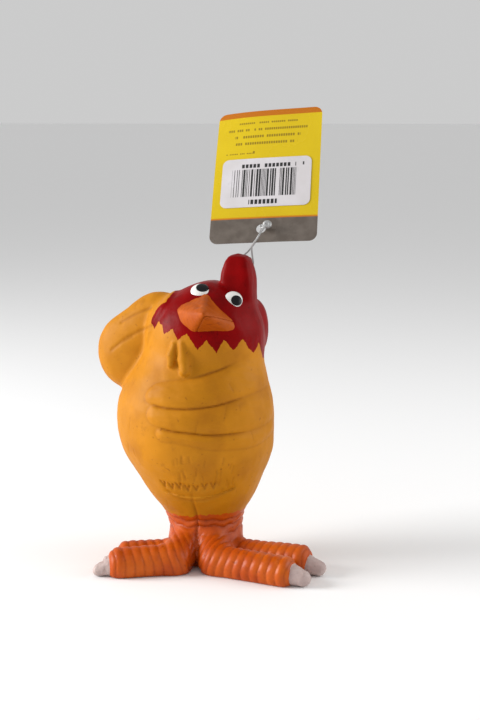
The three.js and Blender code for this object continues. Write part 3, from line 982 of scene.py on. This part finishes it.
def claw_field(p, name):
    ankle, tip, _ = TOES[name]
    ankle, tip = np.array(ankle), np.array(tip)
    way = tip - ankle
    way[2] = 0
    way /= np.linalg.norm(way)
    root_r, end_r, reach = CLAWS[name]
    start = tip - 1.5 * way + (0, 0, root_r - tip[2] - 0.1)
    end = tip + reach * way + (0, 0, end_r - tip[2] + 0.2)
    d = rod(p, start, end, root_r, end_r)
    keel = rod(p, start + (0, 0, 0.9), end + (0, 0, 0.5), root_r * 0.86, end_r * 0.8)
    return both(melt(d, keel, 1.0), SOLE + 0.02 - p[:, 2], 0.6)


def claw_relief(p, normals):
    return 0.12 * wave(p, 4, 31) + 0.06 * wave(p, 1.8, 32)


for name in CLAWS:
    _, tip, _ = TOES[name]
    tip = np.array(tip)
    points, quads = skin_mesh(
        lambda p: claw_field(p, name), tip - (14, 14, 9), tip + (14, 14, 8), 0.6, claw_relief
    )
    claw = new_object(f"{name}_nail", points, quads)
    socketed = boolean(feet, claw, "DIFFERENCE", "feet_next")
    drop(feet)
    feet = socketed
    feet.name = "feet"
    smooth(claw, 60)
    claw_paint.on(claw)
    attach(claw, "root")
    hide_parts(f"{name}_claw")

# ---------- squeaker: the hole in the back, and a moulded cap ----------

squeaker_frame = (
    Matrix.Translation(SQUEAKER_MOUTH.tolist())
    @ Matrix.Rotation(-math.pi / 2 - SQUEAKER_TILT, 4, "X")
    @ Matrix.Translation((0, 0, -SQUEAKER_LENGTH))
)


def lathe(name, profile, place, count=72):
    """A turned solid from a closed profile of (radius, height); radius 0 closes it on the axis."""
    points, faces, rings = [], [], []
    for radius, height in profile:
        if radius < 1e-6:
            rings.append([len(points)])
            points.append(place @ Vector((0, 0, height)))
            continue
        rings.append(list(range(len(points), len(points) + count)))
        for i in range(count):
            angle = i * 2 * math.pi / count
            points.append(place @ Vector((radius * math.cos(angle), radius * math.sin(angle), height)))
    loops = list(zip(rings, rings[1:] + rings[:1]))
    for a, b in loops:
        if len(a) == 1 and len(b) == 1:
            continue
        for i in range(count):
            j = (i + 1) % count
            if len(a) == 1:
                faces.append((a[0], b[j], b[i]))
            elif len(b) == 1:
                faces.append((a[i], a[j], b[0]))
            else:
                faces.append((a[i], a[j], b[j], b[i]))
    return new_object(name, [tuple(q) for q in points], faces)


pocket_profile = [(0, -1.0), (8.95, -1.0), (8.95, 1.6), (7.25, 1.9), (7.25, 30), (0, 30)]
pocket = lathe("pocket", pocket_profile, squeaker_frame)
hollowed = boolean(torso, pocket, "DIFFERENCE", "torso_next")
drop(torso, pocket)
torso = hollowed
torso.name = "torso"

cap = lathe("squeaker_grille", [
    (1.6, 11.0), (5.3, 11.0), (5.5, 11.3), (5.5, 13.5), (7.0, 13.5), (7.0, 14.6), (6.75, 14.9), (6.1, 15.0),
    (5.75, 14.95), (5.6, 14.6), (5.2, 14.35), (3.4, 14.3), (3.1, 14.4), (2.9, 14.8), (2.6, 14.95),
    (2.0, 14.95), (1.75, 14.8), (1.6, 14.5)
], squeaker_frame)
smooth(cap, 28)
plastic = Finish("squeaker_plastic", (0.62, 0.62, 0.58), 0.35)
aged = plastic.span(plastic.noise(3, 12, 4), 0.45, 0.75)
plastic.set("Base Color", plastic.mix(aged, (0.62, 0.62, 0.58), (0.50, 0.48, 0.42)))
plastic.set("Roughness", plastic.span(plastic.noise(2, 13), 0.3, 0.7, 0.28, 0.45))
plastic.bump(plastic.noise(0.8, 14, 2), 0.03)
plastic.on(cap)
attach(cap, "root")
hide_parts("squeaker_cap")
reed_finish = Finish("reed_plastic", (0.75, 0.74, 0.70), 0.3)
cloudy = reed_finish.noise(2, 15)
reed_finish.set("Base Color", reed_finish.mix(cloudy, (0.75, 0.74, 0.70), (0.62, 0.60, 0.55)))
for node, finish in (("squeaker_cup", plastic), ("reed_seat", plastic), ("squeaker_reed", reed_finish)):
    finish.on(frame["nodes"][node])

for obj, finish, slot in ((feet, orange, "latex_orange"), (torso, yellow, "latex_yellow")):
    smooth(obj, 40)
    if "groove" not in obj.data.attributes:
        mark_grooves(obj)
    finish.on(obj)
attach(feet, "root")
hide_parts("leg_column", *[f"{name}_toe" for name in TOES])
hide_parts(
    "torso_skin", "belly_panel", "folded_wing_hand", "folded_wing_arm",
    "right_wattle", "left_wattle", "tail"
)
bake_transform(torso)

# ---------- hang tag ----------

HOLE = joint_place["tag_turn"]
CARD_WIDTH, CARD_HEIGHT, CARD_THICK, CARD_CORNER = 48.5, 66.5, 0.45, 3.6
HOLE_UP, HOLE_RADIUS, CARD_SHIFT = 6.6, 2.2, 0.9
LABEL_WIDTH, LABEL_HEIGHT, LABEL_UP, LABEL_CORNER = 41.0, 24.4, 17.3, 3.0
card_frame = (
    Matrix.Translation(HOLE.tolist())
    @ Matrix.Rotation(math.radians(-30), 4, "X")
    @ Matrix.Rotation(math.radians(-4), 4, "Y")
)


def card_bend(u, v):
    """The card curls back towards its upper left corner."""
    left = -(u - CARD_SHIFT) / (CARD_WIDTH / 2)
    up = (v + HOLE_UP) / CARD_HEIGHT * 2 - 1
    curl = np.maximum(0.62 * left + 0.38 * up, 0)
    return 2.6 * curl ** 3.0 + 0.4 * np.maximum(-left, 0) ** 2 * (0.5 - up)


def rounded_loop(centre_u, low_v, width, height, radius, steps=10):
    right = centre_u + width / 2 - radius
    left = centre_u - width / 2 + radius
    low = low_v + radius
    high = low_v + height - radius
    out = []
    for cu, cv, start in ((right, low, -90), (right, high, 0), (left, high, 90), (left, low, 180)):
        for k in range(steps + 1):
            angle = math.radians(start + 90 * k / steps)
            out.append((cu + radius * math.cos(angle), cv + radius * math.sin(angle)))
    return out


def even_loop(points, spacing):
    """The same closed loop with points no further apart than the spacing."""
    out = []
    for (au, av), (bu, bv) in zip(points, points[1:] + points[:1]):
        parts = max(1, math.ceil(math.hypot(bu - au, bv - av) / spacing))
        out += [(au + (bu - au) * k / parts, av + (bv - av) * k / parts) for k in range(parts)]
    return out


def sheet_piece(name, loops, front, back, spacing=1.3):
    """A bent sheet between two depths, cut to the first loop, with the other loops as holes."""
    loops = [even_loop(loop, spacing) for loop in loops]
    flat = [q for loop in loops for q in loop]
    borders, start = [], 0
    for loop in loops:
        borders.append(list(range(start, start + len(loop))))
        start += len(loop)
    low, high = np.min(loops[0], axis=0), np.max(loops[0], axis=0)
    across = np.arange(low[0] + spacing, high[0], spacing)
    upwards = np.arange(low[1] + spacing, high[1], spacing)
    u, v = np.meshgrid(across, upwards)
    u, v = u.ravel(), v.ravel()
    keep = outline_field(u, v, loops[0]) < -0.6 * spacing
    for loop in loops[1:]:
        keep &= outline_field(u, v, loop) > 0.6 * spacing
    flat += list(zip(u[keep].tolist(), v[keep].tolist()))
    count = len(flat)
    edges = [pair for border in borders for pair in zip(border, border[1:] + border[:1])]
    triangles = delaunay_2d_cdt([Vector(q) for q in flat], edges, [], 0, 1e-6)[2]
    flat = np.array(flat)
    middle = flat[np.array(triangles)].mean(axis=1)
    keep = outline_field(middle[:, 0], middle[:, 1], loops[0]) < 0
    for loop in loops[1:]:
        keep &= outline_field(middle[:, 0], middle[:, 1], loop) > 0
    triangles = [triangle for triangle, kept in zip(triangles, keep) if kept]
    bend = card_bend(flat[:, 0], flat[:, 1])
    points, marks = [], []
    for depth, side in ((front, -1.0), (back, 1.0)):
        for (u, v), b in zip(flat, bend):
            points.append(tuple(card_frame @ Vector((u, depth + b, v))))
            marks.append((u, v, side))
    faces = [(a, b, c) for a, b, c in triangles]
    faces += [(c + count, b + count, a + count) for a, b, c in triangles]
    for border in borders:
        for a, b in zip(border, border[1:] + border[:1]):
            faces.append((b, a, a + count, b + count))
    obj = new_object(name, points, faces)
    mesh = obj.data
    layer = mesh.attributes.new("printed", "FLOAT_VECTOR", "POINT")
    layer.data.foreach_set("vector", np.array(marks, np.float32).ravel())
    smooth(obj, 30)
    return obj


TOP_V = CARD_HEIGHT - HOLE_UP
LABEL_LOW = LABEL_UP - HOLE_UP
card_edge = rounded_loop(CARD_SHIFT, -HOLE_UP, CARD_WIDTH, CARD_HEIGHT, CARD_CORNER)
card_hole = oval((0, 0), HOLE_RADIUS, HOLE_RADIUS, count=32)
card = sheet_piece("printed_card", [card_edge, card_hole], -CARD_THICK / 2, CARD_THICK / 2)
label_edge = rounded_loop(CARD_SHIFT, LABEL_LOW, LABEL_WIDTH, LABEL_HEIGHT, LABEL_CORNER)
label = sheet_piece("barcode_panel", [label_edge], -CARD_THICK / 2 - 0.26, -CARD_THICK / 2 - 0.12)


def band(f, value, low, high, soft=0.12):
    """1 between low and high."""
    up = f.span(value, low - soft, low + soft)
    down = f.span(value, high - soft, high + soft, 1.0, 0.0)
    return f.math("MULTIPLY", up, down)


def dashes(f, u, v, middle_u, width, height_v, high, pitch, seed, gap=0.3):
    """A row of short printed dashes that stands for a line of small print."""
    across = band(f, u, middle_u - width / 2, middle_u + width / 2)
    upwards = band(f, v, height_v - high / 2, height_v + high / 2)
    row = f.math("MULTIPLY", across, upwards)
    cell = f.math("FLOOR", f.math("DIVIDE", u, pitch))
    mark = f.node("TexWhiteNoise", {"W": f.math("ADD", cell, seed)}, noise_dimensions="1D").outputs[0]
    inked = f.math("GREATER_THAN", mark, gap)
    within = f.math("LESS_THAN", f.math("FRACT", f.math("DIVIDE", u, pitch)), 0.72)
    return f.math("MULTIPLY", row, f.math("MULTIPLY", inked, within))


def most(f, *values):
    out = values[0]
    for value in values[1:]:
        out = f.math("MAXIMUM", out, value)
    return out


# Rows of print: middle, width, distance below the card's top or above the label's foot, height, pitch,
# seed, and the share left blank.
SMALL_PRINT = [
    (0.8, 28, 6.2, 0.9, 0.95, 3, 0.14), (0.2, 37, 9.7, 1.2, 1.0, 71, 0.12),
    (0.4, 30.5, 13.3, 1.3, 1.1, 133, 0.14), (-0.4, 29.5, 16.8, 1.3, 1.1, 207, 0.14),
    (-12.6, 13, 21.9, 0.6, 0.8, 301, 0.15), (-5.9, 1.6, 21.5, 1.3, 3.0, 11, 0.0),
]
LABEL_PRINT = [
    (0.4, 28, 20.6, 1.9, 1.75, 5, 0.12), (17.4, 1.4, 20.8, 1.6, 2.9, 9, 0.0),
    (0.0, 13, 2.5, 2.3, 1.85, 31, 0.0),
]

print_finish = Finish(
    "tag_card", (0.63, 0.45, 0.004), 0.28, Specular_IOR_Level=0.3, Coat_Weight=0.12, Coat_Roughness=0.15
)
f = print_finish
split = f.node("SeparateXYZ", {0: f.attribute("printed").outputs["Vector"]})
u, v, side = split.outputs
tone = f.mix(f.span(f.noise(25, 41), 0.4, 0.7), (0.60, 0.42, 0.003), (0.67, 0.49, 0.005))
ink = most(f, *[
    dashes(f, u, v, middle, width, TOP_V - below, *rest) for middle, width, below, *rest in SMALL_PRINT
])
front = f.math("LESS_THAN", side, 0.0)
tone = f.mix(f.math("MULTIPLY", f.math("MULTIPLY", ink, front), 0.75), tone, (0.14, 0.08, 0.006))
tone = f.mix(f.span(v, TOP_V - 3.0, TOP_V - 2.8), tone, (0.47, 0.135, 0.002))
tone = f.mix(f.span(v, 12.1 - HOLE_UP, 12.7 - HOLE_UP, 1.0, 0.0), tone, (0.52, 0.165, 0.002))
grey = f.mix(f.span(f.noise(3, 43, 4), 0.4, 0.7), (0.105, 0.085, 0.070), (0.150, 0.125, 0.105))
tone = f.mix(f.span(v, 11.5 - HOLE_UP, 11.8 - HOLE_UP, 1.0, 0.0), tone, grey)
f.set("Base Color", tone)
f.set("Roughness", f.span(f.noise(9, 44), 0.3, 0.7, 0.22, 0.36))
f.bump(f.noise(1.2, 45, 2), 0.02)

label_finish = Finish("tag_label", (0.62, 0.60, 0.62), 0.3, Coat_Weight=0.15, Coat_Roughness=0.15)
f = label_finish
split = f.node("SeparateXYZ", {0: f.attribute("printed").outputs["Vector"]})
u, v, side = split.outputs
bar_cell = f.math("FLOOR", f.math("DIVIDE", u, 0.30))
bar_gap = f.math("LESS_THAN", f.math("FRACT", f.math("DIVIDE", u, 1.2)), 0.76)
bar_noise = f.node("TexWhiteNoise", {"W": f.math("ADD", bar_cell, 517)}, noise_dimensions="1D").outputs[0]
bar_ink = f.math("MULTIPLY", f.math("GREATER_THAN", bar_noise, 0.42), bar_gap)
bars_across = band(f, u, -14.8, 14.6, 0.05)
bars_upwards = band(f, v, LABEL_LOW + 5.2, LABEL_LOW + 18.9, 0.08)
bars = f.math("MULTIPLY", bar_ink, f.math("MULTIPLY", bars_across, bars_upwards))
ink = most(f, bars, *[
    dashes(f, u, v, middle, width, LABEL_LOW + up, *rest) for middle, width, up, *rest in LABEL_PRINT
])
ink = f.math("MULTIPLY", ink, f.math("LESS_THAN", side, 0.0))
paper = f.mix(f.span(f.noise(8, 51), 0.4, 0.7), (0.64, 0.61, 0.63), (0.56, 0.53, 0.53))
f.set("Base Color", f.mix(ink, paper, (0.012, 0.012, 0.012)))
f.set("Roughness", f.span(f.noise(6, 52), 0.3, 0.7, 0.25, 0.38))
TAG_PIECES = (
    (card, print_finish, "hang_tag", "tag_card"),
    (label, label_finish, "barcode_label", "tag_label"),
)
for obj, finish, node, slot in TAG_PIECES:
    finish.on(obj)
    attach(obj, "tag")
    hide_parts(node)

# ---------- nylon loop ----------

LOOP = joint_place["loop_swing"]
LOCK = HOLE + np.array((3.4, -3.1, 2.0))
ROUTE = [
    LOCK, HOLE + (1.8, -2.4, 1.2), HOLE + (0.2, -0.3, 0.1), HOLE + (-0.8, 2.2, -1.4),
    HOLE + (-3.0, 3.7, -5.5), HOLE + (-6.8, 3.9, -10.4),
    LOOP + (-2.9, 0.3, 3.2), LOOP + (-2.9, 0.0, 0.9), LOOP + (-1.8, 0, 0),
    LOOP + (1.8, 0, 0), LOOP + (2.9, -0.2, 0.9), LOOP + (2.8, -1.6, 5.0), HOLE + (-3.6, -2.0, -7.6),
    HOLE + (-0.4, -6.1, -4.0), HOLE + (1.8, -5.3, -0.2), LOCK,
]


def tube(name, route, radius, sides=12, steps=12):
    route = np.array([np.asarray(q, float) for q in route])
    path = []
    for i in range(len(route) - 1):
        a, b = route[max(i - 1, 0)], route[i]
        c, d = route[i + 1], route[min(i + 2, len(route) - 1)]
        for t in np.arange(steps) / steps:
            path.append(between(a, b, c, d, t))
    path.append(route[-1])
    path = np.array(path)
    along = np.gradient(path, axis=0)
    along /= np.linalg.norm(along, axis=1)[:, None]
    side_way = np.cross(along[0], (0, 0, 1.0))
    points, faces = [], []
    for i, (q, t) in enumerate(zip(path, along)):
        side_way = side_way - (side_way @ t) * t
        side_way /= np.linalg.norm(side_way)
        other = np.cross(t, side_way)
        r = radius(i / (len(path) - 1))
        for k in range(sides):
            angle = 2 * math.pi * k / sides
            points.append(q + r * (side_way * math.cos(angle) + other * math.sin(angle)))
    for i in range(len(path) - 1):
        for k in range(sides):
            j = (k + 1) % sides
            faces.append((i * sides + k, i * sides + j, (i + 1) * sides + j, (i + 1) * sides + k))
    faces.append(tuple(reversed(range(sides))))
    faces.append(tuple((len(path) - 1) * sides + k for k in range(sides)))
    return new_object(name, points, faces)


def strand_radius(t):
    near_comb = math.exp(-((t - 0.56) / 0.10) ** 2)
    return 0.42 + 0.12 * near_comb


loop = tube("nylon_loop", ROUTE, strand_radius)


def lock_field(p):
    body = ellipsoid(p, LOCK + (0.2, 0, 0.3), (2.1, 1.15, 1.75))
    dent = ellipsoid(p, LOCK + (0.4, -1.5, 0.5), (1.1, 0.9, 0.9))
    neck = rod(p, LOCK + (-0.4, 0.1, -0.6), LOCK + (-2.6, 0.9, -1.6), 0.75, 0.6)
    hook = rod(p, LOCK + (-2.6, 0.9, -1.6), LOCK + (-3.3, 1.0, -0.4), 0.6, 0.45)
    return melt(both(body, -dent, 0.4), np.minimum(neck, hook), 0.6)


lock_piece = new_object("nylon_lock", *skin_mesh(lock_field, LOCK - (5, 4, 4), LOCK + (4, 4, 4), 0.34))
joined = boolean(loop, lock_piece, "UNION", "nylon_loop_joined")
drop(loop, lock_piece)
loop = joined
loop.name = "nylon_loop"
smooth(loop, 50)
nylon = Finish("clear_nylon", (0.48, 0.48, 0.47), 0.3, Transmission_Weight=0.35, IOR=1.5)
nylon.set("Base Color", nylon.mix(nylon.noise(2, 61), (0.52, 0.52, 0.50), (0.38, 0.38, 0.39)))
nylon.on(loop)
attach(loop, "loop")
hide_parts("tag_loop")

# ---------- camera, floor and lights ----------

AZIMUTH, ELEVATION, DISTANCE = math.radians(15), math.radians(10), 0.62
target = Vector((0.016, 0.0043, 0.091))
back = Vector((
    math.sin(AZIMUTH) * math.cos(ELEVATION), -math.cos(AZIMUTH) * math.cos(ELEVATION), math.sin(ELEVATION)
))
camera = bpy.data.objects.new("camera", bpy.data.cameras.new("camera"))
camera.data.lens = 68.9
camera.data.sensor_width = 36
camera.location = target + DISTANCE * back
camera.rotation_euler = back.to_track_quat("Z", "Y").to_euler()
bpy.context.scene.collection.objects.link(camera)
bpy.context.scene.camera = camera


def lamp(name, place, size, power, colour=(1, 1, 1)):
    data = bpy.data.lights.new(name, "AREA")
    data.size = size
    data.energy = power
    data.color = colour
    obj = bpy.data.objects.new(name, data)
    obj.location = place
    obj.rotation_euler = (Vector(place) - Vector((0, 0, 0.08))).to_track_quat("Z", "Y").to_euler()
    bpy.context.scene.collection.objects.link(obj)


lamp("key", (-0.85, -0.30, 0.38), 0.45, 11.0)
lamp("fill", (0.7, 0.15, 0.35), 0.5, 2.4)
world = bpy.data.worlds.new("world")
bpy.context.scene.world = world
world.use_nodes = True
world.node_tree.nodes["Background"].inputs["Color"].default_value = (1, 1, 1, 1)
world.node_tree.nodes["Background"].inputs["Strength"].default_value = 0.6
bpy.context.scene.view_settings.view_transform = "Standard"

FLOOR_REACH = 40000
floor_corners = [(x * FLOOR_REACH, y * FLOOR_REACH, SOLE) for x, y in ((-1, -1), (1, -1), (1, 1), (-1, 1))]
floor = new_object("floor", floor_corners, [(0, 1, 2, 3)])
floor_finish = Finish("floor_white", (0.92, 0.92, 0.92), 0.8, Specular_IOR_Level=0.2)
floor_finish.on(floor)
